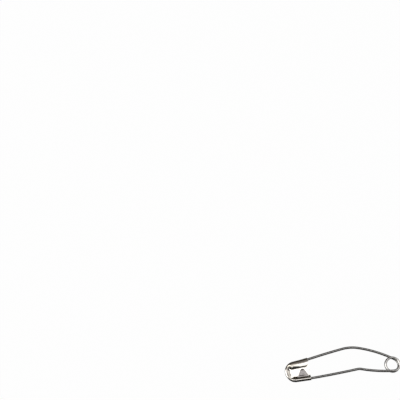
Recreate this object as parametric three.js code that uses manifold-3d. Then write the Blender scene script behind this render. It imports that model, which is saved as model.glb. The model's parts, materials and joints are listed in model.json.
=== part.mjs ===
// Curved safety pin, closed, lying flat with the open side of its clasp up.
// Millimetres, +Z up, +X from the clasp towards the coil.
//
// The real pin is two pieces: one spring steel wire and one folded sheet steel clasp.
// The wire is divided where its work changes: the arm that the clasp is crimped on,
// the coil that springs, and the arm that opens and carries the ground point.

import * as THREE from 'three';
import { mergeVertices } from 'three/addons/utils/BufferGeometryUtils.js';
import Module from 'manifold-3d';

// Wire
const wireDiameter = 0.8;
const wireSides = 12;
const wireSegmentLength = 0.9;

// Coil, wound one and nearly a half turn, the needle arm leaving from its lower turn
const coilBore = 3.6;
const turnGap = 0.42;
const coilStepsPerTurn = 32;
const levelAngle = 30;

// Fixed arm, followed outwards from the coil: a bowed root, a kink, a straighter front
const fixedSlopeAngle = 1;
const fixedRootLength = 10.5;
const fixedRootBowAngle = 14.15;
const fixedKinkRadius = 2.5;
const fixedKinkAngle = 22.25;
const fixedFrontLength = 14.3;
const fixedFrontBowAngle = 1.85;
const fixedSeatLength = 1.2;
const fixedSeatBendAngle = 1.6;
const fixedEndSetback = 0.2;

// Needle arm, followed outwards from the coil: a bowed root, a wide bend, a front
// that lands in the clasp, and the ground point
const needleRootLength = 12.2;
const needleRootBowAngle = 17.9;
const needleBendRadius = 12.7;
const needleFrontBowAngle = 2.8;
const needleEntryAngle = 4;
const needleTipRoom = 2.7;
const pointLength = 4.6;
const tipDiameter = 0.12;

// Clasp: one folded sheet
const sheetThickness = 0.2;
const claspLength = 8.1;
const claspWidth = 7.3;
const sideTaperAngle = 6.4;
const mouthSetback = 0.2;
const plateInset = 2.4;
const plateLap = 0.35;

// Crimp, rolled tight round the fixed arm, its free edge sloping down to the plate, and
// starting on the clasp's end, a lead length before the straight side
const crimpFit = 0.025;
const crimpWrapAngle = 130;
const crimpLeadLength = 1.2;
const foldGap = 0.05;

// Channel, whose mouth flares where the needle comes in. Its flap turns back over the needle
// in a flat dome, and between flapOpenLength and flapClosedLength from the mouth it closes
// down round the point. Both edges are measured from the crimp side
const channelRoom = 0.1;
const wallGap = 0.02;
const mouthFlareWidth = 0.1;
const flareLength = 3;
const flapWrapAngle = 75;
const flapDomeRadius = 4.2;
const flapClosedRadius = 2.6;
const flapOpenLength = 2;
const flapClosedLength = 5.5;
const flapEdge = 4.75;
const flapClosedEdge = 4.45;
const flapCorner = 1.2;
const flapEndLength = 2.2;
const flapEndBlend = 0.2;
const reliefRadius = 0.3;

// Lip round the closed end, which rises from a shallow dish
const lipSideHeight = 1.07;
const lipDishAngle = 45;
const lipCrown = 0.35;
const lipWrapAngle = 100;
const lipRun = 0.45;
const lipBlend = 1.5;
const dishBlend = 2.5;

// Guard tab, from the crimp towards the needle
const tabBase = 3.8;
const tabApex = 1.0;
const tabLean = 0.1;
const tabReach = 2.8;
const tabFromMouth = 2.35;
const tabRootHeight = 0.65;
const tabCurl = 0.5;
const tabCurlDrop = 0.05;

// Faces round each bend of the sheet, and along each part of the rim
const footSteps = 5;
const crownSteps = 10;
const runSteps = 4;
const cornerSteps = 5;
const sideSteps = 3;
const shoulderSteps = 5;
const flapEndSteps = 4;
const endSteps = 18;
const crimpSteps = 4;
const tabSteps = 8;
const reliefSides = 12;

const wireRadius = wireDiameter / 2;
const coilRadius = (coilBore + wireDiameter) / 2;
const crimpRadius = wireRadius + crimpFit + sheetThickness;
const channelHeight = wireDiameter + 2 * channelRoom;
const channelRadius = channelHeight / 2 + sheetThickness;
const needleInset = sheetThickness + wallGap + wireRadius;

const radians = THREE.MathUtils.degToRad;
const smooth = (x, from, to) => THREE.MathUtils.smoothstep(x, from, to);
const mix = THREE.MathUtils.lerp;
const spread = (from, to, count) => Array.from({ length: count }, (_, i) => mix(from, to, (i + 1) / count));
const direction = (heading) => new THREE.Vector2(Math.cos(radians(heading)), Math.sin(radians(heading)));

// Solids

function signedVolume(positions, faces) {
  let volume = 0;
  const corner = (i) => new THREE.Vector3().fromArray(positions, 3 * i);
  for (let f = 0; f < faces.length; f += 3) {
    volume += corner(faces[f]).dot(corner(faces[f + 1]).cross(corner(faces[f + 2])));
  }
  return volume / 6;
}

// A closed body through sections that all have as many points. Each section is
// { points: Vector3[], flat: Vector2[] }, flat being the same outline drawn in its plane.
function loft(sections) {
  const count = sections[0].points.length;
  const last = sections.length - 1;
  const positions = sections.flatMap((section) => section.points.flatMap((point) => point.toArray()));
  const faces = [];
  for (let i = 0; i < last; i++) {
    for (let j = 0; j < count; j++) {
      const k = (j + 1) % count;
      const [a, b, c, d] = [i * count + j, i * count + k, (i + 1) * count + k, (i + 1) * count + j];
      faces.push(a, c, b, a, d, c);
    }
  }
  for (const [a, b, c] of THREE.ShapeUtils.triangulateShape(sections[0].flat, [])) {
    faces.push(a, b, c);
  }
  for (const [a, b, c] of THREE.ShapeUtils.triangulateShape(sections[last].flat, [])) {
    faces.push(last * count + a, last * count + c, last * count + b);
  }
  if (signedVolume(positions, faces) < 0) {
    faces.reverse();
  }
  const geometry = new THREE.BufferGeometry();
  geometry.setAttribute('position', new THREE.Float32BufferAttribute(positions, 3));
  geometry.setIndex(faces);
  return geometry;
}

// Wire along a route of { place: Vector2, heading, height, radius }. Its sections
// stand upright, so two lengths that share a place and a heading meet face to face.
function wire(route) {
  const angles = Array.from({ length: wireSides }, (_, k) => radians(360 * k / wireSides));
  return loft(route.map(({ place, heading, height, radius }) => {
    const side = direction(heading - 90);
    const flat = angles.map((a) => new THREE.Vector2(radius * Math.cos(a), radius * Math.sin(a)));
    const points = flat.map(({ x, y }) => (
      new THREE.Vector3(place.x + x * side.x, place.y + x * side.y, height + y)
    ));
    return { points, flat };
  }));
}

// Routes

// How long an arc's chord is against the arc, for an arc that turns by this many degrees
function chordShare(turn) {
  const half = radians(turn / 2);
  return half === 0 ? 1 : Math.sin(half) / half;
}

// A plan route made of arcs, each { length, turn } with turn in degrees, left positive
function planRoute(place, heading, arcs) {
  const route = [{ place: place.clone(), heading, along: 0 }];
  for (const { length, turn } of arcs) {
    const start = route.at(-1);
    const steps = Math.max(2, Math.ceil(length / wireSegmentLength), Math.ceil(Math.abs(turn) / 4));
    for (let i = 1; i <= steps; i++) {
      const part = i / steps;
      const chord = length * part * chordShare(turn * part);
      route.push({
        place: start.place.clone().addScaledVector(direction(start.heading + turn * part / 2), chord),
        heading: start.heading + turn * part,
        along: start.along + length * part,
      });
    }
  }
  return route;
}

// Clasp outline: a straight side over the crimp, a straight side over the needle that
// closes in towards the end, and one arc that touches both
const taper = radians(sideTaperAngle);
const endRadius = (claspWidth - claspLength * Math.tan(taper)) / (1 + 1 / Math.cos(taper) - Math.tan(taper));
const endCentre = new THREE.Vector2(endRadius - claspLength, endRadius - crimpRadius);
const flare = (x) => mouthFlareWidth * Math.max(0, 1 + (x + mouthSetback) / flareLength) ** 2;
const needleSide = (x) => claspWidth - crimpRadius + x * Math.tan(taper);
const crimpSideLength = claspLength - endRadius;

// Fixed arm, whose end is crimped along the clasp's straight side

const fixedHeading = 180 - fixedSlopeAngle;
const fixedStart = direction(fixedHeading + 90).multiplyScalar(coilRadius);
const fixedFree = [
  { length: fixedRootLength, turn: -fixedRootBowAngle },
  { length: fixedKinkRadius * radians(fixedKinkAngle), turn: fixedKinkAngle },
  { length: fixedFrontLength, turn: -fixedFrontBowAngle },
  { length: fixedSeatLength, turn: -fixedSeatBendAngle },
];
const fixedCrimped = { length: crimpSideLength - fixedEndSetback, turn: 0 };
const fixedPlan = planRoute(fixedStart, fixedHeading, [...fixedFree, fixedCrimped]);
const fixedFreeLength = fixedFree.reduce((sum, { length }) => sum + length, 0);

// The clasp sits where the crimp grips the fixed arm: its own x runs along the
// crimped wire towards the coil, its own y towards the needle
const crimpMouth = planRoute(fixedStart, fixedHeading, fixedFree).at(-1);
const claspTurn = crimpMouth.heading - 180;
const fromClasp = (x, y) => crimpMouth.place.clone()
  .addScaledVector(direction(claspTurn), x)
  .addScaledVector(direction(claspTurn + 90), y);

// Needle arm: the angle at which it leaves the coil and the length of its front are
// what brings it into the channel, found by Newton's method on where its end lands
const seatHeading = 180 + claspTurn + sideTaperAngle + needleEntryAngle;
const needleMouth = fromClasp(
  -mouthSetback + needleInset * Math.sin(taper),
  needleSide(-mouthSetback) + mouthFlareWidth - needleInset * Math.cos(taper),
);

function needleFree(leave, front) {
  const bend = seatHeading - leave - needleRootBowAngle - needleFrontBowAngle;
  return [
    { length: needleRootLength, turn: needleRootBowAngle },
    { length: needleBendRadius * radians(bend), turn: bend },
    { length: front, turn: needleFrontBowAngle },
  ];
}

function needleMiss(leave, front) {
  const start = direction(leave - 90).multiplyScalar(coilRadius);
  return planRoute(start, leave, needleFree(leave, front)).at(-1).place.sub(needleMouth);
}

function solveNeedle() {
  const span = needleMouth.length();
  let leave = 150;
  let front = span / 3;
  const nudge = 0.01;
  for (let i = 0; i < 12; i++) {
    const miss = needleMiss(leave, front);
    const byLeave = needleMiss(leave + nudge, front).sub(miss).divideScalar(nudge);
    const byFront = needleMiss(leave, front + nudge * span).sub(miss).divideScalar(nudge * span);
    const scale = byLeave.cross(byFront);
    leave -= miss.cross(byFront) / scale;
    front -= byLeave.cross(miss) / scale;
  }
  return { leave, front };
}

const needle = solveNeedle();
const needleSeatedLength = claspLength - mouthSetback - needleTipRoom;
const needleStart = direction(needle.leave - 90).multiplyScalar(coilRadius);
const needleArcs = needleFree(needle.leave, needle.front);
const needleFreeLength = needleArcs.reduce((sum, { length }) => sum + length, 0);
const needlePlan = planRoute(needleStart, needle.leave, [
  ...needleArcs,
  { length: needleSeatedLength - pointLength, turn: 0 },
  { length: pointLength, turn: 0 },
]);

// The coil turns clockwise from the needle arm up to the fixed arm, and levels out
// over levelAngle at both ends, where the arms carry on
const coilWrap = 360 + (needle.leave - 90) - (fixedHeading + 90 - 360);
const coilPitch = wireDiameter + turnGap;
const coilSlope = coilPitch / (360 - levelAngle / 2);
const coilClimb = coilSlope * (coilWrap - levelAngle);
const coilFoot = wireRadius;
const coilTop = coilFoot + coilClimb;

function coilRise(turned) {
  const level = (angle) => coilSlope * angle * angle / (2 * levelAngle);
  if (turned < levelAngle) {
    return level(turned);
  }
  if (turned > coilWrap - levelAngle) {
    return coilClimb - level(coilWrap - turned);
  }
  return coilSlope * (turned - levelAngle / 2);
}

const coilSteps = Math.ceil(coilStepsPerTurn * coilWrap / 360);
const coilRoute = Array.from({ length: coilSteps + 1 }, (_, i) => {
  const turned = coilWrap * i / coilSteps;
  const angle = needle.leave - 90 - turned;
  return {
    place: direction(angle).multiplyScalar(coilRadius),
    heading: angle + 90,
    height: coilFoot + coilRise(turned),
    radius: wireRadius,
  };
});

const fixedRoute = fixedPlan.map((step) => ({
  ...step,
  height: mix(coilTop, crimpRadius, smooth(step.along, 0, fixedFreeLength)),
  radius: wireRadius,
}));

const needleLength = needleFreeLength + needleSeatedLength;
const needleRoute = needlePlan.map((step) => ({
  ...step,
  height: mix(coilFoot, channelRadius, smooth(step.along, 0, needleFreeLength)),
  radius: mix(wireRadius, tipDiameter / 2, Math.max(0, 1 - (needleLength - step.along) / pointLength)),
}));

// Clasp

// The sheet's outline across the rim, in n (0 at the clasp's side, outwards) and z:
// flat under the plate, up by the dish angle to the crown, whose widest place is at
// sideHeight, over round the crown to wrap degrees past it, and on for the run, whose
// direction turns by bend
function sheetSection({ sideHeight, dish, crown, wrap, run, bend }) {
  const half = sheetThickness / 2;
  const crownRadius = crown - half;
  const dishOut = direction(dish);
  const footRadius = (sideHeight - half - crownRadius * dishOut.x) / (1 - dishOut.x);
  const flatEnd = -half - footRadius * dishOut.y - crownRadius * (1 - dishOut.y);
  const middle = [{ n: -plateInset - plateLap, z: half, angle: -90 }];
  for (let i = 0; i <= footSteps; i++) {
    const angle = dish * i / footSteps - 90;
    const arc = direction(angle).multiplyScalar(footRadius);
    middle.push({ n: flatEnd + arc.x, z: half + footRadius + arc.y, angle });
  }
  for (const angle of spread(dish - 90, wrap, crownSteps)) {
    const arc = direction(angle).multiplyScalar(crownRadius);
    middle.push({ n: arc.x - crown, z: sideHeight + arc.y, angle });
  }
  const end = middle.at(-1);
  for (const part of spread(0, 1, runSteps)) {
    const ahead = direction(end.angle + 90 + bend * part / 2);
    const chord = run * part * chordShare(bend * part);
    middle.push({ n: end.n + chord * ahead.x, z: end.z + chord * ahead.y, angle: end.angle + bend * part });
  }
  const face = (side) => middle.map(({ n, z, angle }) => (
    new THREE.Vector2(n, z).addScaledVector(direction(angle), side * half)
  ));
  return [...face(1), ...face(-1).reverse()];
}

// Where the rim runs: along the needle's side to the end, round it, and back along the crimp
const needleSideEnd = endCentre.clone().addScaledVector(direction(90 + sideTaperAngle), endRadius);
const needleSideStart = new THREE.Vector2(-mouthSetback, needleSide(-mouthSetback));
const needleSideLength = needleSideStart.distanceTo(needleSideEnd);
const endLength = endRadius * radians(180 - sideTaperAngle);
const rimLength = needleSideLength + endLength + crimpSideLength;

function rimPlace(along) {
  if (along < needleSideLength) {
    const place = needleSideStart.clone().addScaledVector(direction(180 + sideTaperAngle), along);
    place.y += flare(place.x);
    return { place, outward: 90 + sideTaperAngle };
  }
  if (along < needleSideLength + endLength) {
    const outward = 90 + sideTaperAngle + THREE.MathUtils.radToDeg((along - needleSideLength) / endRadius);
    return { place: endCentre.clone().addScaledVector(direction(outward), endRadius), outward };
  }
  return { place: new THREE.Vector2(along - rimLength, -crimpRadius), outward: 270 };
}

const flapEnd = needleSideLength + flapEndLength;
const crimpStart = needleSideLength + endLength;

// The flap's arc over the needle, from where its crown ends to the flap's edge
function flapDome(along, crown, wrap) {
  const { place, outward } = rimPlace(along);
  const cornerLeft = Math.max(0, flapCorner - along);
  const cornerCut = flapCorner - Math.sqrt(flapCorner ** 2 - cornerLeft ** 2);
  const closed = smooth(along, flapOpenLength, flapClosedLength);
  const edge = mix(flapEdge, flapClosedEdge, closed);
  const width = (place.y + crimpRadius - edge) / direction(outward).y - cornerCut;
  const crownEnd = direction(wrap).x;
  const domeRadius = mix(flapDomeRadius, flapClosedRadius, closed);
  const domeEnd = crownEnd - (width - crown * (1 - crownEnd)) / domeRadius;
  const bend = THREE.MathUtils.radToDeg(Math.acos(domeEnd)) - wrap;
  return { run: (domeRadius - sheetThickness / 2) * radians(bend), bend };
}

// The crimp's slope runs down until its free edge is foldGap above the plate
const crimpCrown = direction(crimpWrapAngle).multiplyScalar(crimpRadius - sheetThickness / 2);
const crimpSlope = radians(crimpWrapAngle - 90);
const foldHeight = sheetThickness + foldGap + sheetThickness / 2;
const crimpRun = (crimpRadius + crimpCrown.y - foldHeight) / Math.sin(crimpSlope);

function rimShape(along) {
  const lipStart = flapEnd - lipBlend / 2;
  const foldStart = crimpStart - crimpLeadLength;
  const toLip = smooth(along, lipStart, lipStart + lipBlend);
  const toCrimp = smooth(along, foldStart - lipBlend, foldStart);
  const toDish = smooth(along, lipStart, lipStart + dishBlend);
  const fromDish = smooth(along, foldStart - dishBlend, foldStart);
  const crown = mix(mix(channelRadius, lipCrown, toLip), crimpRadius, toCrimp);
  const wrap = mix(mix(flapWrapAngle, lipWrapAngle, toLip), crimpWrapAngle, toCrimp);
  const flap = toLip < 1 ? flapDome(along, crown, wrap) : { run: 0, bend: 0 };
  const runToLip = smooth(along, flapEnd - flapEndBlend, flapEnd + flapEndBlend);
  return {
    sideHeight: mix(mix(channelRadius, lipSideHeight, toDish), crimpRadius, fromDish),
    dish: mix(mix(90, lipDishAngle, toDish), 90, fromDish),
    crown,
    wrap,
    run: mix(mix(flap.run, lipRun, runToLip), crimpRun, toCrimp),
    bend: mix(flap.bend, 0, runToLip),
  };
}

function rim() {
  const stations = [
    0,
    ...spread(0, 1, cornerSteps).map((part) => flapCorner * (1 - Math.cos(radians(90 * part)))),
    ...spread(flapCorner, needleSideLength, sideSteps),
    ...spread(needleSideLength, flapEnd - flapEndBlend, shoulderSteps),
    ...spread(flapEnd - flapEndBlend, flapEnd + flapEndBlend, flapEndSteps),
    ...spread(flapEnd + flapEndBlend, crimpStart, endSteps),
    ...spread(crimpStart, rimLength, crimpSteps),
  ];
  return loft(stations.map((along) => {
    const { place, outward } = rimPlace(along);
    const out = direction(outward);
    const flat = sheetSection(rimShape(along));
    const points = flat.map(({ x, y }) => (
      new THREE.Vector3(place.x + x * out.x, place.y + x * out.y, y)
    ));
    return { points, flat };
  }));
}

// The flat of the clasp, inside the rim's foot
function plate() {
  const shape = new THREE.Shape();
  const inner = endRadius - plateInset;
  const start = needleSideStart.clone().addScaledVector(direction(90 + sideTaperAngle), -plateInset);
  const startAngle = radians(90 + sideTaperAngle);
  shape.moveTo(start.x, start.y);
  shape.lineTo(endCentre.x + inner * Math.cos(startAngle), endCentre.y + inner * Math.sin(startAngle));
  shape.absarc(endCentre.x, endCentre.y, inner, startAngle, radians(270), false);
  shape.lineTo(0, plateInset - crimpRadius);
  shape.closePath();
  return new THREE.ExtrudeGeometry(shape, {
    depth: sheetThickness, bevelEnabled: false, curveSegments: endSteps,
  });
}

// Guard tab: a blunt triangle that leaves the crimp's slope and runs down more gently,
// its tip curled on to the plate
function tab() {
  const half = sheetThickness / 2;
  const rootPlace = (crimpRadius + crimpCrown.y - tabRootHeight) / Math.tan(crimpSlope) - crimpCrown.x;
  const tipPlace = crimpRadius + tabReach;
  const places = [0, ...spread(0, 1, tabSteps)].map((part) => mix(rootPlace, tipPlace, part));
  return loft(places.map((y) => {
    const part = (y - rootPlace) / (tipPlace - rootPlace);
    const curled = Math.max(0, y - (tipPlace - tabCurl)) / tabCurl;
    const rounding = tabApex / 2 * (1 - Math.sqrt(1 - Math.min(1, curled ** 2)));
    const wide = mix(tabBase, tabApex, part) / 2 - rounding / 2;
    const height = mix(tabRootHeight, foldHeight + tabCurlDrop, part) - tabCurlDrop * curled ** 2;
    const flat = [[-wide, -half], [wide, -half], [wide, half], [-wide, half]]
      .map(([x, z]) => new THREE.Vector2(x, z));
    const points = flat.map((corner) => (
      new THREE.Vector3(corner.x - tabFromMouth + tabLean * part, y, height + corner.y)
    ));
    return { points, flat };
  }));
}

// The round relief left where the flap's fold stops at the lip, seen from the side too
function relief() {
  const { place, outward } = rimPlace(flapEnd);
  const { sideHeight, crown } = rimShape(flapEnd);
  const out = direction(outward);
  const lean = direction(45);
  const n = crown * (lean.x - 1);
  const cutter = new THREE.CylinderGeometry(reliefRadius, reliefRadius, 3 * sheetThickness, reliefSides);
  cutter.applyQuaternion(new THREE.Quaternion().setFromUnitVectors(
    new THREE.Vector3(0, 1, 0),
    new THREE.Vector3(lean.x * out.x, lean.x * out.y, lean.y),
  ));
  cutter.translate(place.x + n * out.x, place.y + n * out.y, sideHeight + crown * lean.y);
  return cutter;
}

const wasm = await Module();
wasm.setup();

function toManifold(geometry) {
  const bare = geometry.clone();
  bare.deleteAttribute('normal');
  bare.deleteAttribute('uv');
  const merged = mergeVertices(bare);
  return new wasm.Manifold(new wasm.Mesh({
    numProp: 3,
    vertProperties: new Float32Array(merged.attributes.position.array),
    triVerts: new Uint32Array(merged.index.array),
  }));
}

function fromManifold(solid) {
  const mesh = solid.getMesh();
  const geometry = new THREE.BufferGeometry();
  geometry.setAttribute('position', new THREE.Float32BufferAttribute(mesh.vertProperties, 3));
  geometry.setIndex([...mesh.triVerts]);
  return geometry;
}

function clasp() {
  const folded = toManifold(rim()).add(toManifold(plate())).add(toManifold(tab()));
  return fromManifold(folded.subtract(toManifold(relief())));
}

// The least space between points on two turns of the coil that lie one above the other
function leastTurnGap() {
  const rings = coilRoute.map(({ place, heading, height, radius }) => {
    const side = direction(heading - 90);
    return Array.from({ length: wireSides }, (_, k) => {
      const { x, y } = direction(360 * k / wireSides).multiplyScalar(radius);
      return new THREE.Vector3(place.x + x * side.x, place.y + x * side.y, height + y);
    });
  });
  const halfTurn = coilStepsPerTurn / 2;
  let least = Infinity;
  for (let i = 0; i < rings.length; i++) {
    for (let j = i + halfTurn; j < rings.length; j++) {
      for (const a of rings[i]) {
        for (const b of rings[j]) {
          least = Math.min(least, a.distanceTo(b));
        }
      }
    }
  }
  return least;
}

// Assembly

const springSteel = { color: 0x8f8d88, roughness: 0.25, metalness: 1 };
const platedSheet = { color: 0xb9b6ae, roughness: 0.2, metalness: 1 };

function mesh(name, geometry, finish) {
  const piece = new THREE.Mesh(geometry, new THREE.MeshStandardMaterial(finish));
  piece.name = name;
  return piece;
}

const pin = new THREE.Group();
const claspMesh = mesh('clasp', clasp(), platedSheet);
claspMesh.position.set(crimpMouth.place.x, crimpMouth.place.y, 0);
claspMesh.rotation.z = radians(claspTurn);
pin.add(claspMesh);
pin.add(mesh('fixed_arm', wire(fixedRoute), springSteel));
pin.add(mesh('coil_spring', wire(coilRoute), springSteel));
pin.add(mesh('needle_arm', wire(needleRoute), springSteel));

// The origin is the middle of the pin's footprint
pin.updateMatrixWorld(true);
const box = new THREE.Box3().setFromObject(pin, true);
pin.position.set(-(box.min.x + box.max.x) / 2, -(box.min.y + box.max.y) / 2, -box.min.z);
pin.updateMatrixWorld(true);

const size = box.getSize(new THREE.Vector3());
const shown = (vector) => vector.toArray().map((value) => value.toFixed(3)).join(', ');
console.log(`size ${shown(size)} mm; coil axis at ${shown(pin.position)}`);
const turns = (coilWrap / 360).toFixed(2);
console.log(`coil: ${turns} turns, least gap between turns ${leastTurnGap().toFixed(3)} mm`);

export default pin;
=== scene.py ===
import json
import math

import bpy
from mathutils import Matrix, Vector


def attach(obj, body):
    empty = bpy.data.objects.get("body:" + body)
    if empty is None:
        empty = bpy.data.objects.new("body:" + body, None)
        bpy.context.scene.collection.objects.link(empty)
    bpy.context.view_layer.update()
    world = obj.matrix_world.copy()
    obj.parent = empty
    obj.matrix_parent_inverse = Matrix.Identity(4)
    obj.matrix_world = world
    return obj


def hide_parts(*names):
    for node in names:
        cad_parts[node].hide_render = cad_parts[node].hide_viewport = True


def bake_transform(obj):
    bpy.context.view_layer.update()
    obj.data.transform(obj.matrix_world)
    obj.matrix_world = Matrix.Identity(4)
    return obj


# Curved safety pin, closed, lying flat with the open side of its clasp up.
# Metres, +Z up, +X from the clasp towards the coil. Sizes are written in millimetres.

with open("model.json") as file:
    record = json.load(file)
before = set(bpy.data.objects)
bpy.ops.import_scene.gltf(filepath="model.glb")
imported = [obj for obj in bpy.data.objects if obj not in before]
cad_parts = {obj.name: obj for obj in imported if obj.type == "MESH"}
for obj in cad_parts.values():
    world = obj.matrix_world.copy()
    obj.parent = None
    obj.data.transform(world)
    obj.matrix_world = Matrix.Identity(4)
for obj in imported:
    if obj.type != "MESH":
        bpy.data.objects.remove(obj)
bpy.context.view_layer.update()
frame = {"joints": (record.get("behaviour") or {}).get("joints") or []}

MM = 0.001

# Wire and coil
WIRE_DIAMETER = 0.8
COIL_BORE = 3.6
TURN_GAP = 0.42
LEVEL_ANGLE = 30

# Fixed arm, followed outwards from the coil
FIXED_SLOPE_ANGLE = 1
FIXED_ROOT_LENGTH = 10.5
FIXED_ROOT_BOW_ANGLE = 14.15
FIXED_KINK_RADIUS = 2.5
FIXED_KINK_ANGLE = 22.25
FIXED_FRONT_LENGTH = 14.3
FIXED_FRONT_BOW_ANGLE = 1.85
FIXED_SEAT_LENGTH = 1.2
FIXED_SEAT_BEND_ANGLE = 1.6
FIXED_END_SETBACK = 0.2

# Needle arm, followed outwards from the coil
NEEDLE_ROOT_LENGTH = 12.2
NEEDLE_ROOT_BOW_ANGLE = 17.9
NEEDLE_BEND_RADIUS = 12.7
NEEDLE_FRONT_BOW_ANGLE = 2.8
NEEDLE_ENTRY_ANGLE = 4
NEEDLE_TIP_ROOM = 2.7
POINT_LENGTH = 4.6
TIP_DIAMETER = 0.12

# Clasp
SHEET_THICKNESS = 0.2
CLASP_LENGTH = 8.1
CLASP_WIDTH = 7.3
SIDE_TAPER_ANGLE = 6.4
MOUTH_SETBACK = 0.2
PLATE_INSET = 2.4
CRIMP_FIT = 0.025
FOLD_GAP = 0.05
CHANNEL_ROOM = 0.1
WALL_GAP = 0.02
MOUTH_FLARE_WIDTH = 0.1
FLARE_LENGTH = 3
FLAP_EDGE = 4.75
FLAP_CORNER = 1.2
FLAP_WRAP_ANGLE = 75
FLAP_DOME_RADIUS = 4.2
FLAP_CLOSED_RADIUS = 2.6
FLAP_OPEN_LENGTH = 2
FLAP_CLOSED_LENGTH = 5.5
FLAP_CLOSED_EDGE = 4.45
FLAP_END_LENGTH = 2.2
FLAP_END_BLEND = 0.2
RELIEF_RADIUS = 0.3
RELIEF_LEAN_ANGLE = 45
RELIEF_REACH = 0.3
LIP_SIDE_HEIGHT = 1.07
LIP_DISH_ANGLE = 45
LIP_CROWN = 0.35
LIP_WRAP_ANGLE = 100
LIP_RUN = 0.45
LIP_BLEND = 1.5
DISH_BLEND = 2.5
CRIMP_WRAP_ANGLE = 130
CRIMP_LEAD_LENGTH = 1.2
TAB_BASE = 3.8
TAB_APEX = 1.0
TAB_LEAN = 0.1
TAB_REACH = 2.8
TAB_FROM_MOUTH = 2.35
TAB_ROOT_HEIGHT = 0.65
TAB_CURL = 0.5
TAB_CURL_DROP = 0.05

# Rounding of the sheet's edges, and at which parts of it, inwards from a mouth, there is a section
EDGE_ROUND = 0.03
EDGE_STATIONS = 0, 0.13, 0.5, 1

# Fineness
WIRE_SIDES = 40
ROUTE_STEP = 0.25
COIL_STEP_ANGLE = 3
RIM_STEP = 0.12
FOOT_STEPS = 16
CROWN_STEPS = 28
RUN_STEPS = 14
EDGE_STEP_ANGLE = 30
RELIEF_SIDES = 48
STRAIGHT_ANGLE = 0.01
SHARP_ANGLE = 35

# Search for the needle arm's route
FIRST_LEAVE_ANGLE = 150
FIRST_FRONT_SHARE = 1 / 3
SEARCH_NUDGE = 0.01
SEARCH_ROUNDS = 12

wire_radius = WIRE_DIAMETER / 2
coil_radius = (COIL_BORE + WIRE_DIAMETER) / 2
crimp_radius = wire_radius + CRIMP_FIT + SHEET_THICKNESS
channel_radius = wire_radius + CHANNEL_ROOM + SHEET_THICKNESS
needle_inset = SHEET_THICKNESS + WALL_GAP + wire_radius
joint = frame["joints"][0]
coil_axis = Vector(joint["pos_m"][:2]) / MM


def direction(heading):
    return Vector((math.cos(math.radians(heading)), math.sin(math.radians(heading))))


def mix(a, b, part):
    return a + (b - a) * part


def smooth(x, start, end):
    part = min(1, max(0, (x - start) / (end - start)))
    return part * part * (3 - 2 * part)


def steps(start, end, step):
    count = max(1, math.ceil((end - start) / step))
    return [mix(start, end, i / count) for i in range(count + 1)]


# Routes

def plan_route(place, heading, arcs):
    """A plan route of (length, turn) arcs, as a list of (place, heading, along)."""
    route = [(place.copy(), heading, 0)]
    for length, turn in arcs:
        start, start_heading, start_along = route[-1]
        for along in steps(0, length, ROUTE_STEP)[1:]:
            half = math.radians(turn * along / length / 2)
            chord = along * math.sin(half) / half if half else along
            middle = start_heading + turn * along / length / 2
            route.append((
                start + direction(middle) * chord,
                start_heading + turn * along / length,
                start_along + along,
            ))
    return route


taper = math.radians(SIDE_TAPER_ANGLE)
end_radius = CLASP_WIDTH - CLASP_LENGTH * math.tan(taper)
end_radius /= 1 + 1 / math.cos(taper) - math.tan(taper)
end_centre = Vector((end_radius - CLASP_LENGTH, end_radius - crimp_radius))
crimp_side_length = CLASP_LENGTH - end_radius


def needle_side(x):
    return CLASP_WIDTH - crimp_radius + x * math.tan(taper)


def flare(x):
    return MOUTH_FLARE_WIDTH * max(0, 1 + (x + MOUTH_SETBACK) / FLARE_LENGTH) ** 2


fixed_heading = 180 - FIXED_SLOPE_ANGLE
fixed_start = direction(fixed_heading + 90) * coil_radius
fixed_free = [
    (FIXED_ROOT_LENGTH, -FIXED_ROOT_BOW_ANGLE),
    (FIXED_KINK_RADIUS * math.radians(FIXED_KINK_ANGLE), FIXED_KINK_ANGLE),
    (FIXED_FRONT_LENGTH, -FIXED_FRONT_BOW_ANGLE),
    (FIXED_SEAT_LENGTH, -FIXED_SEAT_BEND_ANGLE),
]
fixed_free_length = sum(length for length, turn in fixed_free)
crimp_mouth, mouth_heading, _ = plan_route(fixed_start, fixed_heading, fixed_free)[-1]
clasp_turn = mouth_heading - 180


def from_clasp(x, y):
    return crimp_mouth + direction(clasp_turn) * x + direction(clasp_turn + 90) * y


seat_heading = 180 + clasp_turn + SIDE_TAPER_ANGLE + NEEDLE_ENTRY_ANGLE
needle_mouth = from_clasp(
    needle_inset * math.sin(taper) - MOUTH_SETBACK,
    needle_side(-MOUTH_SETBACK) + MOUTH_FLARE_WIDTH - needle_inset * math.cos(taper),
)
needle_seated_length = CLASP_LENGTH - MOUTH_SETBACK - NEEDLE_TIP_ROOM


def needle_free(leave, front):
    bend = seat_heading - leave - NEEDLE_ROOT_BOW_ANGLE - NEEDLE_FRONT_BOW_ANGLE
    return [
        (NEEDLE_ROOT_LENGTH, NEEDLE_ROOT_BOW_ANGLE),
        (NEEDLE_BEND_RADIUS * math.radians(bend), bend),
        (front, NEEDLE_FRONT_BOW_ANGLE),
    ]


def needle_miss(leave, front):
    start = direction(leave - 90) * coil_radius
    return plan_route(start, leave, needle_free(leave, front))[-1][0] - needle_mouth


def solve_needle():
    """The angle at which the needle arm leaves the coil, and its front's length, by Newton's method."""
    leave = FIRST_LEAVE_ANGLE
    front = needle_mouth.length * FIRST_FRONT_SHARE
    for _ in range(SEARCH_ROUNDS):
        miss = needle_miss(leave, front)
        by_leave = (needle_miss(leave + SEARCH_NUDGE, front) - miss) / SEARCH_NUDGE
        by_front = (needle_miss(leave, front + SEARCH_NUDGE) - miss) / SEARCH_NUDGE
        scale = by_leave.x * by_front.y - by_leave.y * by_front.x
        leave -= (miss.x * by_front.y - miss.y * by_front.x) / scale
        front -= (by_leave.x * miss.y - by_leave.y * miss.x) / scale
    return leave, front


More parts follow.
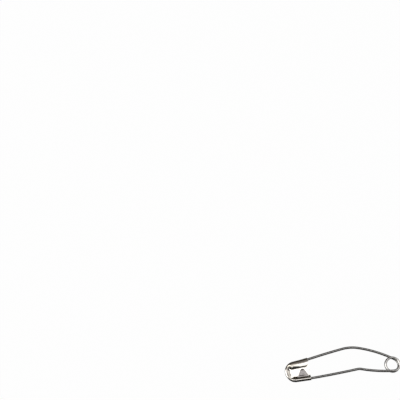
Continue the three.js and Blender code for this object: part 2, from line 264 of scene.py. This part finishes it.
needle_leave, needle_front = solve_needle()
needle_start = direction(needle_leave - 90) * coil_radius
needle_arcs = needle_free(needle_leave, needle_front)
needle_free_length = sum(length for length, turn in needle_arcs)

coil_wrap = 360 + (needle_leave - 90) - (fixed_heading + 90 - 360)
coil_slope = (WIRE_DIAMETER + TURN_GAP) / (360 - LEVEL_ANGLE / 2)
coil_climb = coil_slope * (coil_wrap - LEVEL_ANGLE)
coil_top = wire_radius + coil_climb
coil_length = math.radians(coil_wrap) * coil_radius


def coil_rise(turned):
    if turned < LEVEL_ANGLE:
        return coil_slope * turned ** 2 / (2 * LEVEL_ANGLE)
    if turned > coil_wrap - LEVEL_ANGLE:
        return coil_climb - coil_slope * (coil_wrap - turned) ** 2 / (2 * LEVEL_ANGLE)
    return coil_slope * (turned - LEVEL_ANGLE / 2)


# Meshes

def in_frame(place, height):
    return Vector((place.x + coil_axis.x, place.y + coil_axis.y, height)) * MM


def new_object(name, points, faces):
    mesh = bpy.data.meshes.new(name)
    mesh.from_pydata(points, [], faces)
    mesh.validate()
    piece = bpy.data.objects.new(name, mesh)
    bpy.context.scene.collection.objects.link(piece)
    return piece


def tube_faces(rings, sides):
    """The faces of a closed tube whose points lie in rings, with a face over each end."""
    faces = []
    for i in range(rings - 1):
        for k in range(sides):
            a, b = i * sides + k, i * sides + (k + 1) % sides
            faces.append((a, a + sides, b + sides, b))
    last = (rings - 1) * sides
    faces.append(tuple(range(sides)))
    faces.append(tuple(reversed(range(last, last + sides))))
    return faces


def wire_piece(name, route, material, node):
    """Round wire along a route of (place, heading, height, radius, along), closed at both ends. Where
    one length meets the next, they do so ring for ring. Each point's grain, for the material, is how
    far along the wire it is and where in its section, in mm."""
    points, normals, grain = [], [], []
    for place, heading, height, radius, along in route:
        side = direction(heading - 90)
        for k in range(WIRE_SIDES):
            angle = math.tau * k / WIRE_SIDES
            c, s = math.cos(angle), math.sin(angle)
            points.append(in_frame(place + side * c * radius, height + s * radius))
            normals.append(Vector((side.x * c, side.y * c, s)))
            grain += (along, radius * c, radius * s)
    piece = new_object(name, points, tube_faces(len(route), WIRE_SIDES))
    mesh = piece.data
    mesh.attributes.new("grain", "FLOAT_VECTOR", "POINT").data.foreach_set("vector", grain)
    mesh.materials.append(material)
    mesh.shade_smooth()
    mesh.normals_split_custom_set_from_vertices(normals)
    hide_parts(node)
    return piece


def coil_piece(material):
    route = []
    for turned in steps(0, coil_wrap, COIL_STEP_ANGLE):
        angle = needle_leave - 90 - turned
        height = wire_radius + coil_rise(turned)
        along = -math.radians(turned) * coil_radius
        route.append((direction(angle) * coil_radius, angle + 90, height, wire_radius, along))
    piece = wire_piece("coil_spring_wound", list(reversed(route)), material, "coil_spring")
    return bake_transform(piece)


def fixed_arm_piece(material):
    crimped = (crimp_side_length - FIXED_END_SETBACK, 0)
    route = []
    for place, heading, along in plan_route(fixed_start, fixed_heading, [*fixed_free, crimped]):
        height = mix(coil_top, crimp_radius, smooth(along, 0, fixed_free_length))
        route.append((place, heading, height, wire_radius, -coil_length - along))
    piece = wire_piece("fixed_arm_wire", route, material, "fixed_arm")
    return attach(piece, "root")


def needle_arm_piece(material):
    shank = (needle_seated_length - POINT_LENGTH, 0)
    point = (POINT_LENGTH, 0)
    plan = plan_route(needle_start, needle_leave, [*needle_arcs, shank, point])
    tip_along = plan[-1][2]
    route = []
    for place, heading, along in plan:
        height = mix(wire_radius, channel_radius, smooth(along, 0, needle_free_length))
        ground = min(1, max(0, 1 - (tip_along - along) / POINT_LENGTH))
        radius = mix(wire_radius, TIP_DIAMETER / 2, ground)
        route.append((place, heading, height, radius, along))
    piece = wire_piece("needle_arm_wire", route, material, "needle_arm")
    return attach(piece, "needle")


# Clasp

needle_side_end = end_centre + direction(90 + SIDE_TAPER_ANGLE) * end_radius
needle_side_start = Vector((-MOUTH_SETBACK, needle_side(-MOUTH_SETBACK)))
needle_side_length = (needle_side_end - needle_side_start).length
end_length = end_radius * math.radians(180 - SIDE_TAPER_ANGLE)
rim_length = needle_side_length + end_length + crimp_side_length
flap_end = needle_side_length + FLAP_END_LENGTH
crimp_start = needle_side_length + end_length

crimp_crown = crimp_radius - SHEET_THICKNESS / 2
crimp_end = direction(CRIMP_WRAP_ANGLE) * crimp_crown
slope_tangent = math.tan(math.radians(CRIMP_WRAP_ANGLE - 90))
fold_height = SHEET_THICKNESS * 3 / 2 + FOLD_GAP
crimp_run = (crimp_radius + crimp_end.y - fold_height) / math.sin(math.radians(CRIMP_WRAP_ANGLE - 90))
tab_root = -crimp_end.x + (crimp_radius + crimp_end.y - TAB_ROOT_HEIGHT) / slope_tangent


def rim_place(along):
    """Where the clasp's side is, and which way it faces, that far round it from the needle's mouth."""
    if along < needle_side_length:
        place = needle_side_start + direction(180 + SIDE_TAPER_ANGLE) * along
        place.y += flare(place.x)
        return place, 90 + SIDE_TAPER_ANGLE
    if along < crimp_start:
        outward = 90 + SIDE_TAPER_ANGLE + math.degrees((along - needle_side_length) / end_radius)
        return end_centre + direction(outward) * end_radius, outward
    return Vector((along - rim_length, -crimp_radius)), 270


def rim_shape(along):
    """The section's side height, dish angle, crown radius and wrap, and its run's length and bend."""
    lip_start = flap_end - LIP_BLEND / 2
    to_lip = smooth(along, lip_start, lip_start + LIP_BLEND)
    to_dish = smooth(along, lip_start, lip_start + DISH_BLEND)
    fold_start = crimp_start - CRIMP_LEAD_LENGTH
    to_crimp = smooth(along, fold_start - LIP_BLEND, fold_start)
    from_dish = smooth(along, fold_start - DISH_BLEND, fold_start)

    def blended(channel, lip, crimp):
        return mix(mix(channel, lip, to_lip), crimp, to_crimp)

    side_height = mix(mix(channel_radius, LIP_SIDE_HEIGHT, to_dish), crimp_radius, from_dish)
    dish = mix(mix(90, LIP_DISH_ANGLE, to_dish), 90, from_dish)
    crown = blended(channel_radius, LIP_CROWN, crimp_radius)
    wrap = blended(FLAP_WRAP_ANGLE, LIP_WRAP_ANGLE, CRIMP_WRAP_ANGLE)

    flap_run = flap_bend = 0
    if to_lip < 1:
        place, outward = rim_place(along)
        closed = smooth(along, FLAP_OPEN_LENGTH, FLAP_CLOSED_LENGTH)
        edge = mix(FLAP_EDGE, FLAP_CLOSED_EDGE, closed)
        width = (place.y + crimp_radius - edge) / direction(outward).y
        corner_left = max(0, FLAP_CORNER - along)
        width += math.sqrt(FLAP_CORNER ** 2 - corner_left ** 2) - FLAP_CORNER
        crown_end = direction(wrap).x
        dome_radius = mix(FLAP_DOME_RADIUS, FLAP_CLOSED_RADIUS, closed)
        dome_end = crown_end - (width - crown * (1 - crown_end)) / dome_radius
        flap_bend = math.degrees(math.acos(dome_end)) - wrap
        flap_run = (dome_radius - SHEET_THICKNESS / 2) * math.radians(flap_bend)
    run_to_lip = smooth(along, flap_end - FLAP_END_BLEND, flap_end + FLAP_END_BLEND)
    run = mix(mix(flap_run, LIP_RUN, run_to_lip), crimp_run, to_crimp)
    return side_height, dish, crown, wrap, run, mix(flap_bend, 0, run_to_lip)


def sheet_section(side_height, dish, crown, wrap, run, bend, thickness):
    """Outer face, rounded free edge, then inner face, as (n, z) with n outwards from the side."""
    half = SHEET_THICKNESS / 2
    crown_radius = crown - half
    dish_out = direction(dish)
    foot_radius = (side_height - half - crown_radius * dish_out.x) / (1 - dish_out.x)
    flat_end = -half - foot_radius * dish_out.y - crown_radius * (1 - dish_out.y)
    middle = [(-PLATE_INSET, half, -90)]
    for i in range(FOOT_STEPS + 1):
        heading = dish * i / FOOT_STEPS
        arc = direction(heading - 90) * foot_radius
        middle.append((flat_end + arc.x, half + foot_radius + arc.y, heading - 90))
    for i in range(1, CROWN_STEPS + 1):
        angle = mix(dish - 90, wrap, i / CROWN_STEPS)
        arc = direction(angle) * crown_radius
        middle.append((arc.x - crown_radius - half, side_height + arc.y, angle))
    n, z, angle = middle[-1]
    for i in range(1, RUN_STEPS + 1):
        half_bend = bend * i / RUN_STEPS / 2
        chord = run * i / RUN_STEPS
        if abs(half_bend) > STRAIGHT_ANGLE:
            chord *= math.sin(math.radians(half_bend)) / math.radians(half_bend)
        ahead = direction(angle + 90 + half_bend)
        middle.append((n + chord * ahead.x, z + chord * ahead.y, angle + 2 * half_bend))
    edge_n, edge_z, edge_angle = middle[-1]
    off = thickness / 2
    outer = [(n + direction(a).x * off, z + direction(a).y * off) for n, z, a in middle[:-1]]
    inner = [(n - direction(a).x * off, z - direction(a).y * off) for n, z, a in middle[:-1]]
    edge = []
    for angle in steps(0, 180, EDGE_STEP_ANGLE):
        spot = Vector((edge_n, edge_z)) + direction(edge_angle) * off * math.cos(math.radians(angle))
        spot += direction(edge_angle + 90) * min(EDGE_ROUND, off) * math.sin(math.radians(angle))
        edge.append((spot.x, spot.y))
    return outer + edge + inner[::-1]


def rim_stations():
    """How far round the side each section is: closer at the flap's end and at the rounded mouths."""
    spots = steps(0, flap_end - FLAP_END_BLEND, RIM_STEP)
    spots += steps(flap_end - FLAP_END_BLEND, flap_end + FLAP_END_BLEND, RIM_STEP / 4)[1:]
    spots += steps(flap_end + FLAP_END_BLEND, rim_length, RIM_STEP)[1:]
    ends = [EDGE_ROUND * part for part in EDGE_STATIONS]
    spots = ends + [spot for spot in spots if ends[-1] < spot < rim_length - ends[-1]]
    return spots + [rim_length - spot for spot in reversed(ends)]


def edge_thickness(along):
    """The sheet thins over its rounded edge at both mouths."""
    inward = min(1, min(along, rim_length - along) / EDGE_ROUND)
    lost = EDGE_ROUND * (1 - math.sqrt(max(0, 1 - (1 - inward) ** 2)))
    return SHEET_THICKNESS - 2 * lost


def clasp_shell():
    """The folded sheet: its rim, and the flat plate that closes it."""
    points, faces = [], []
    stations = rim_stations()
    for along in stations:
        place, outward = rim_place(along)
        out = direction(outward)
        for n, z in sheet_section(*rim_shape(along), edge_thickness(along)):
            points.append((place.x + n * out.x, place.y + n * out.y, z))
    count = len(points) // len(stations)
    for i in range(len(stations) - 1):
        for k in range(count - 1):
            a = i * count + k
            faces.append((a, a + count, a + count + 1, a + 1))

    # Across the sheet at each mouth, with a triangle at the free edge's tip
    last = (len(stations) - 1) * count
    middle = count // 2
    for k in range(middle - 1):
        faces.append((k, k + 1, count - 2 - k, count - 1 - k))
        faces.append((last + count - 1 - k, last + count - 2 - k, last + k + 1, last + k))
    faces.append((middle - 1, middle, middle + 1))
    faces.append((last + middle + 1, last + middle, last + middle - 1))

    # The flat plate: under, over and across the mouths
    under = [i * count for i in range(len(stations))]
    over = [i * count + count - 1 for i in range(len(stations))]
    faces.append(tuple(under))
    faces.append(tuple(reversed(over)))
    faces.append((under[0], over[0], over[-1], under[-1]))
    return points, faces


def tab_shell():
    """The guard tab, from the crimp's slope to its curled tip on the plate."""
    half = SHEET_THICKNESS / 2
    corners = (-1, -1), (1, -1), (1, 1), (-1, 1)
    tip = crimp_radius + TAB_REACH
    places = steps(tab_root, tip, RIM_STEP / 2)
    points = []
    for y in places:
        part = (y - tab_root) / (tip - tab_root)
        curled = max(0, y - (tip - TAB_CURL)) / TAB_CURL
        rounding = TAB_APEX / 2 * (1 - math.sqrt(1 - min(1, curled ** 2)))
        wide = mix(TAB_BASE, TAB_APEX, part) / 2 - rounding / 2
        height = mix(TAB_ROOT_HEIGHT, fold_height + TAB_CURL_DROP, part) - TAB_CURL_DROP * curled ** 2
        middle = TAB_LEAN * part - TAB_FROM_MOUTH
        for across, up in corners:
            points.append((middle + across * wide, y, height + up * half))
    return points, tube_faces(len(places), len(corners))


def relief_shell():
    """The round hole where the flap's fold stops, as a cylinder through the sheet."""
    place, outward = rim_place(flap_end)
    side_height, _, crown, _, _, _ = rim_shape(flap_end)
    lean = direction(RELIEF_LEAN_ANGLE)
    out = direction(outward)
    axis = Vector((lean.x * out.x, lean.x * out.y, lean.y))
    n = crown * (lean.x - 1)
    centre = Vector((place.x + n * out.x, place.y + n * out.y, side_height + crown * lean.y))
    across = axis.cross(Vector((0, 0, 1))).normalized()
    up = axis.cross(across)
    ends = -RELIEF_REACH, RELIEF_REACH
    points = []
    for end in ends:
        for k in range(RELIEF_SIDES):
            angle = math.tau * k / RELIEF_SIDES
            round_hole = (across * math.cos(angle) + up * math.sin(angle)) * RELIEF_RADIUS
            points.append(tuple(centre + axis * end + round_hole))
    return points, tube_faces(len(ends), RELIEF_SIDES)


def solid(name, shell):
    """A closed shell in the clasp's own place, as an object with its faces outwards."""
    points, faces = shell
    piece = new_object(name, [in_frame(from_clasp(x, y), z) for x, y, z in points], faces)
    bpy.context.view_layer.objects.active = piece
    bpy.ops.object.mode_set(mode="EDIT")
    bpy.ops.mesh.select_all(action="SELECT")
    bpy.ops.mesh.normals_make_consistent(inside=False)
    bpy.ops.object.mode_set(mode="OBJECT")
    return piece


def cut_and_join(piece, other, operation):
    modifier = piece.modifiers.new(operation, "BOOLEAN")
    modifier.operation = operation
    modifier.solver = "EXACT"
    modifier.object = other
    bpy.context.view_layer.objects.active = piece
    bpy.ops.object.modifier_apply(modifier=modifier.name)
    bpy.data.objects.remove(other)


def rim_depth(spot):
    """How far inside the clasp's side a spot lies."""
    if spot.x < end_centre.x:
        return end_radius - (spot - end_centre).length
    to_needle_side = (needle_side_start - spot).dot(direction(90 + SIDE_TAPER_ANGLE))
    return min(to_needle_side, spot.y + crimp_radius)


def mark_places(piece):
    """Gives each point, for the material, its x and y in the clasp's own place and its rim depth, in
    mm: the clasp's own x is 0 at the crimp's mouth and its y is 0 on the crimped wire's middle."""
    values = []
    for vertex in piece.data.vertices:
        offset = vertex.co.xy / MM - coil_axis - crimp_mouth
        spot = Vector((offset.dot(direction(clasp_turn)), offset.dot(direction(clasp_turn + 90))))
        values += (spot.x, spot.y, rim_depth(spot))
    piece.data.attributes.new("place", "FLOAT_VECTOR", "POINT").data.foreach_set("vector", values)


def clasp_piece(material):
    piece = solid("clasp_folded_sheet", clasp_shell())
    cut_and_join(piece, solid("tab", tab_shell()), "UNION")
    cut_and_join(piece, solid("relief", relief_shell()), "DIFFERENCE")
    mark_places(piece)
    piece.data.materials.clear()
    piece.data.materials.append(material)
    piece.data.shade_smooth()
    piece.data.set_sharp_from_angle(angle=math.radians(SHARP_ANGLE))
    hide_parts("clasp")
    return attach(piece, "root")


# Materials

# A noise's values say how much it is squeezed in x, y and z, its scale and its detail, for places in
# mm. Where it sets a tint or a roughness, its part from NOISE_LOW to NOISE_HIGH is used.
NOISE_LOW = 0.3
NOISE_HIGH = 0.7
GRAZING_TINT = (0.08, 0.08, 0.08)

# Which of a mix node's sockets are the ones for colours
COLOUR_INPUTS = 6, 7
COLOUR_OUTPUT = 2


class Nodes:
    """A short way to add nodes to a tree and link them."""

    def __init__(self, tree):
        self.tree = tree
        tree.nodes.clear()

    def add(self, kind, inputs=None, **settings):
        node = self.tree.nodes.new(kind)
        for key, value in settings.items():
            setattr(node, key, value)
        for key, value in (inputs or {}).items():
            if isinstance(value, bpy.types.NodeSocket):
                self.tree.links.new(value, node.inputs[key])
            else:
                node.inputs[key].default_value = value
        return node

    def math(self, operation, first, second):
        return self.add("ShaderNodeMath", {0: first, 1: second}, operation=operation).outputs[0]

    def stretched(self, vector, scale):
        return self.add("ShaderNodeVectorMath", {0: vector, 1: scale}, operation="MULTIPLY").outputs[0]

    def noise(self, vector, squeeze, scale, detail):
        inputs = {"Vector": self.stretched(vector, squeeze), "Scale": scale, "Detail": detail}
        return self.add("ShaderNodeTexNoise", inputs).outputs["Fac"]

    def ranged(self, value, low, high, start=NOISE_LOW, end=NOISE_HIGH):
        """From low to high as the value goes from start to end, and level outside them."""
        return self.add("ShaderNodeMapRange", {
            "Value": value, "From Min": start, "From Max": end, "To Min": low, "To Max": high,
        }).outputs["Result"]

    def around(self, value, middle, width, soft):
        """1 over a width around the middle, fading to 0 over a soft width on both sides."""
        start, end = middle - width / 2, middle + width / 2
        rise = self.ranged(value, 0, 1, start - soft, start)
        return self.product(rise, self.ranged(value, 1, 0, end, end + soft))

    def product(self, first, *others):
        for other in others:
            first = self.math("MULTIPLY", first, other)
        return first

    def colours(self, factor, low, high):
        """From low to high, each a colour or a colour socket."""
        inputs = {"Factor": factor}
        for key, colour in zip(COLOUR_INPUTS, (low, high)):
            inputs[key] = (*colour, 1) if isinstance(colour, tuple) else colour
        return self.add("ShaderNodeMix", inputs, data_type="RGBA").outputs[COLOUR_OUTPUT]

    def separated(self, vector):
        return self.add("ShaderNodeSeparateXYZ", {0: vector}).outputs

    def metal(self, tint, roughness, *bumps):
        """Ends a material as bare metal with bumps, each a height from 0 to 1 and its depth in mm."""
        normal = None
        for height, depth in bumps:
            inputs = {"Height": height, "Distance": depth * MM, "Strength": 1.0}
            if normal:
                inputs["Normal"] = normal
            normal = self.add("ShaderNodeBump", inputs).outputs["Normal"]
        shader = self.add("ShaderNodeBsdfPrincipled", {
            "Base Color": tint,
            "Metallic": 1.0,
            "Specular Tint": (*GRAZING_TINT, 1),
            "Roughness": roughness,
            "Normal": normal,
        })
        self.add("ShaderNodeOutputMaterial", {"Surface": shader.outputs[0]})


def new_material(name):
    material = bpy.data.materials.new(name)
    material.use_nodes = True
    return material, Nodes(material.node_tree)


# The wire's tints, dull and rubbed. The coil's tints are lighter than the arms': painted light, in
# place of the brighter highlights the coil catches
ARM_TINTS = (0.27, 0.265, 0.25), (0.36, 0.355, 0.34)
COIL_PAINTED_LIGHT_TINTS = (0.44, 0.43, 0.41), (0.56, 0.55, 0.53)
COIL_TINT_SOFT = 1.0
WIRE_ROUGHNESS = 0.12, 0.26
DRAWN_LINES = (0.35, 9, 9), 1.6, 5
DRAWN_DEPTH = 0.003
WIRE_RUBBING = (1, 2, 2), 1.1, 4
PITS = (1, 1, 1), 22, 2
PIT_DEPTH = 0.0015


def spring_wire():
    """Nickel on drawn wire: fine lines along it, a little rubbing, a faint warm tint, and painted
    light: the coil is tinted lighter than the arms.
    """
    material, nodes = new_material("spring_wire")
    grain = nodes.add("ShaderNodeAttribute", attribute_name="grain").outputs["Vector"]
    drawn = nodes.noise(grain, *DRAWN_LINES)
    rubbed = nodes.ranged(nodes.noise(grain, *WIRE_RUBBING), 0, 1)
    pits = nodes.noise(grain, *PITS)
    # Painted light: the coil's length of wire is tinted lighter than the arms
    wound = nodes.around(nodes.separated(grain)["X"], -coil_length / 2, coil_length, COIL_TINT_SOFT)
    tint = nodes.colours(wound, nodes.colours(rubbed, *ARM_TINTS), nodes.colours(rubbed, *COIL_PAINTED_LIGHT_TINTS))
    nodes.metal(tint, nodes.ranged(drawn, *WIRE_ROUGHNESS), (drawn, DRAWN_DEPTH), (pits, PIT_DEPTH))
    return material


# The clasp's tints, dull and clean, and painted shade, in mm: along the flap's bend and low on the
# crimp's outer side, in place of darker reflections, and on the tab's tip and along its fold, partly
# tarnish
CLASP_TINTS = (0.64, 0.605, 0.54), (0.72, 0.70, 0.66)
CLASP_ROUGHNESS = 0.1, 0.2
CLOUDS = (1, 1, 1), 0.7, 4
DIMPLES = (1, 1, 1), 2.2, 2
DIMPLE_DEPTH = 0.006
SCRATCHES = (0.8, 14, 6), 1.3, 4
SCRATCH_DEPTH = 0.0012
BEND_PAINTED_SHADE = (0.42, 0.39, 0.33)
BEND_SHADE_DEPTH = 1.15
BEND_SHADE_X = -4.0
BEND_SHADE_END_DEPTH = 1.5
BEND_SHADE_END_X = -6.5
BEND_SHADE_SOFT = 0.35
BEND_SHADE_LAST = 4.0
CRIMP_PAINTED_SHADE = (0.12, 0.115, 0.1)
CRIMP_SHADE_DEPTH = 0.34
CRIMP_SHADE_SOFT = 0.1
TAB_SHADE_AND_TARNISH = (0.2, 0.19, 0.17)
TAB_FOLD_FROM_SIDE = 1.88
TAB_FOLD_FROM_MOUTH = 2.8
TAB_FOLD_LENGTH = 1.1
TAB_FOLD_END_SOFT = 0.5
TAB_FOLD_WIDTH = 0.2
TAB_TIP_LENGTH = 0.36
LINE_SOFT = 0.15


def clasp_sheet():
    """Bright nickel on folded sheet: tumbled dimples, fine scratches, a warm uneven tint, and
    painted shade where the sheet is bent most, partly tarnish on the tab."""
    material, nodes = new_material("clasp_sheet")
    metres = nodes.add("ShaderNodeTexCoord").outputs["Object"]
    millimetres = nodes.stretched(metres, (1 / MM, 1 / MM, 1 / MM))
    height = nodes.separated(millimetres)["Z"]
    place = nodes.add("ShaderNodeAttribute", attribute_name="place").outputs["Vector"]
    x, y, depth = nodes.separated(place)
    dimples = nodes.noise(millimetres, *DIMPLES)
    scratches = nodes.noise(millimetres, *SCRATCHES)
    clouds = nodes.noise(millimetres, *CLOUDS)
    # Painted shade along the flap's bend, in place of the darker reflection there
    shaded_to = nodes.ranged(
        x, BEND_SHADE_END_DEPTH, BEND_SHADE_DEPTH, BEND_SHADE_END_X, BEND_SHADE_X,
    )
    bent = nodes.product(
        nodes.ranged(nodes.math("SUBTRACT", depth, shaded_to), 1, 0, 0, BEND_SHADE_SOFT),
        nodes.ranged(y, 0, 1, BEND_SHADE_LAST, FLAP_EDGE),
        nodes.ranged(height, 0, 1, channel_radius, channel_radius + LINE_SOFT),
    )
    # Painted shade low on the crimp's outer side, in place of its dark reflection and contact shade
    crimped = nodes.product(
        nodes.ranged(depth, 1, 0, CRIMP_SHADE_DEPTH, CRIMP_SHADE_DEPTH + CRIMP_SHADE_SOFT),
        nodes.ranged(y, 1, 0, 0, crimp_radius),
    )
    # Painted shade, partly tarnish, along the tab's fold and on its tip
    raised = nodes.ranged(height, 0, 1, SHEET_THICKNESS, SHEET_THICKNESS + FOLD_GAP)
    folded = nodes.product(
        nodes.around(x, -TAB_FOLD_FROM_MOUTH, TAB_FOLD_LENGTH, TAB_FOLD_END_SOFT),
        nodes.around(y, TAB_FOLD_FROM_SIDE - crimp_radius, TAB_FOLD_WIDTH, LINE_SOFT),
        raised,
    )
    tip = crimp_radius + TAB_REACH
    tipped = nodes.product(
        nodes.around(x, -TAB_FROM_MOUTH, 2 * TAB_APEX, LINE_SOFT),
        nodes.around(y, tip - TAB_TIP_LENGTH / 2, TAB_TIP_LENGTH, LINE_SOFT),
        raised,
    )
    tint = nodes.colours(nodes.ranged(clouds, 0, 1), *CLASP_TINTS)
    tint = nodes.colours(bent, tint, BEND_PAINTED_SHADE)
    tint = nodes.colours(crimped, tint, CRIMP_PAINTED_SHADE)
    tint = nodes.colours(folded, tint, TAB_SHADE_AND_TARNISH)
    tint = nodes.colours(tipped, tint, TAB_SHADE_AND_TARNISH)
    roughness = nodes.ranged(scratches, *CLASP_ROUGHNESS)
    nodes.metal(tint, roughness, (dimples, DIMPLE_DEPTH), (scratches, SCRATCH_DEPTH))
    return material


# Stage

# A pale floor, two soft ceiling panels and a room that is dark behind the camera, in metres. An edge of
# a wall says between which two values of the direction's x, y or z the wall fades in or out.
FLOOR_SIZE = 3.0
FLOOR_DROP = 0.00002
FLOOR_COLOUR = (0.25, 0.25, 0.25)
FLOOR_WHITE = 1.02
FLOOR_SEEN_SHARE = 0.96
FLOOR_MIRRORED_SHARE = 0.12
ROOM_MIRRORED_SHARE = 0.03
ROOM_FRONT = (0.005, 0.005, 0.005)
ROOM_FRONT_EDGE = -0.1, 0.12
ROOM_LEFT = (0.7, 0.7, 0.68)
ROOM_LEFT_EDGE = -0.62, -0.4
ROOM_LEFT_BACK_EDGE = 0.25, 0.45
ROOM_LEFT_FRONT_EDGE = -0.85, -0.7
ROOM_RIGHT = (1.05, 1.03, 1.0)
ROOM_RIGHT_EDGE = 0.4, 0.62
ROOM_BACK = (0.48, 0.46, 0.49)
ROOM_LOW_BACK = (0.04, 0.03, 0.02)
ROOM_LOW_BACK_EDGE = 0.74, 0.93
PANEL_HEIGHT = 0.5
RIGHT_PANEL = ((-0.05, -0.075), (0.2, 0.15))
RIGHT_RADIANCE = 1.45
LEFT_PANEL = ((-0.62, -0.12), (-0.05, 0.2))
LEFT_RADIANCE = 3.2


def white_share(nodes, seen, mirrored):
    """How much of the floor or room is white, as the camera sees it and as metal or glass does."""
    rays = nodes.add("ShaderNodeLightPath").outputs
    indirect = nodes.math("MAXIMUM", rays["Is Glossy Ray"], rays["Is Transmission Ray"])
    by_camera = nodes.math("MULTIPLY", rays["Is Camera Ray"], seen)
    return nodes.math("ADD", by_camera, nodes.math("MULTIPLY", indirect, mirrored))


def floor():
    half = FLOOR_SIZE / 2
    corners = [(-half, -half, 0), (half, -half, 0), (half, half, 0), (-half, half, 0)]
    piece = new_object("floor", corners, [(0, 1, 2, 3)])
    piece.location.z = -FLOOR_DROP
    material, nodes = new_material("floor")
    plain = nodes.add("ShaderNodeBsdfDiffuse", {"Color": (*FLOOR_COLOUR, 1)})
    white = nodes.add("ShaderNodeEmission", {"Color": (1, 1, 1, 1), "Strength": FLOOR_WHITE})
    share = white_share(nodes, FLOOR_SEEN_SHARE, FLOOR_MIRRORED_SHARE)
    mixed = nodes.add("ShaderNodeMixShader", {0: share, 1: plain.outputs[0], 2: white.outputs[0]})
    nodes.add("ShaderNodeOutputMaterial", {"Surface": mixed.outputs[0]})
    piece.data.materials.append(material)


def room():
    """The walls: pale at the left and right, dark in front and dim at the back."""
    world = bpy.data.worlds.new("room")
    world.use_nodes = True
    bpy.context.scene.world = world
    nodes = Nodes(world.node_tree)
    x, y, z = nodes.separated(nodes.add("ShaderNodeTexCoord").outputs["Generated"])
    walls = nodes.colours(nodes.ranged(z, 0, 1, *ROOM_LOW_BACK_EDGE), ROOM_LOW_BACK, ROOM_BACK)
    walls = nodes.colours(nodes.ranged(y, 0, 1, *ROOM_FRONT_EDGE), ROOM_FRONT, walls)
    left = nodes.product(
        nodes.ranged(x, 1, 0, *ROOM_LEFT_EDGE),
        nodes.ranged(y, 1, 0, *ROOM_LEFT_BACK_EDGE),
        nodes.ranged(y, 0, 1, *ROOM_LEFT_FRONT_EDGE),
    )
    walls = nodes.colours(left, walls, ROOM_LEFT)
    walls = nodes.colours(nodes.ranged(x, 0, 1, *ROOM_RIGHT_EDGE), walls, ROOM_RIGHT)
    dim = nodes.add("ShaderNodeBackground", {"Color": walls, "Strength": 1.0})
    white = nodes.add("ShaderNodeBackground", {"Color": (1, 1, 1, 1), "Strength": 1.0})
    share = white_share(nodes, 1, ROOM_MIRRORED_SHARE)
    mixed = nodes.add("ShaderNodeMixShader", {0: share, 1: dim.outputs[0], 2: white.outputs[0]})
    nodes.add("ShaderNodeOutputWorld", {"Surface": mixed.outputs[0]})


def panel(name, corners, radiance):
    """A soft light in the ceiling that shines straight down, between two corners."""
    (left, front), (right, back) = corners
    lamp = bpy.data.lights.new(name, "AREA")
    lamp.shape = "RECTANGLE"
    lamp.size = right - left
    lamp.size_y = back - front
    lamp.energy = radiance * math.pi * lamp.size * lamp.size_y
    piece = bpy.data.objects.new(name, lamp)
    piece.location = ((left + right) / 2, (front + back) / 2, PANEL_HEIGHT)
    bpy.context.scene.collection.objects.link(piece)


# The camera, as in the photograph: tilted down, with the coil right of the view's middle and below it
CAMERA_LENS = 85
CAMERA_CLIP_START = 10
CAMERA_TILT_ANGLE = 68
CAMERA_DISTANCE = 329.86
COIL_IN_VIEW = Vector((62.494, -58.182))
PIN_TURN_ANGLE = 4.33


def camera():
    lens = bpy.data.cameras.new("camera")
    lens.lens = CAMERA_LENS
    lens.clip_start = CAMERA_CLIP_START * MM
    tilt = math.radians(CAMERA_TILT_ANGLE)
    turn = math.radians(-PIN_TURN_ANGLE)
    away = Vector((0, -CAMERA_DISTANCE * math.cos(tilt))) - COIL_IN_VIEW
    away = Vector((
        away.x * math.cos(turn) - away.y * math.sin(turn),
        away.x * math.sin(turn) + away.y * math.cos(turn),
    ))
    piece = bpy.data.objects.new("camera", lens)
    piece.location = in_frame(away, CAMERA_DISTANCE * math.sin(tilt))
    piece.rotation_euler = (math.pi / 2 - tilt, 0, turn)
    bpy.context.scene.collection.objects.link(piece)
    bpy.context.scene.camera = piece


wire_metal = spring_wire()
coil_piece(wire_metal)
fixed_arm_piece(wire_metal)
needle_arm_piece(wire_metal)
clasp_piece(clasp_sheet())
floor()
room()
panel("right_panel", RIGHT_PANEL, RIGHT_RADIANCE)
panel("left_panel", LEFT_PANEL, LEFT_RADIANCE)
camera()
bpy.context.scene.view_settings.view_transform = "Standard"
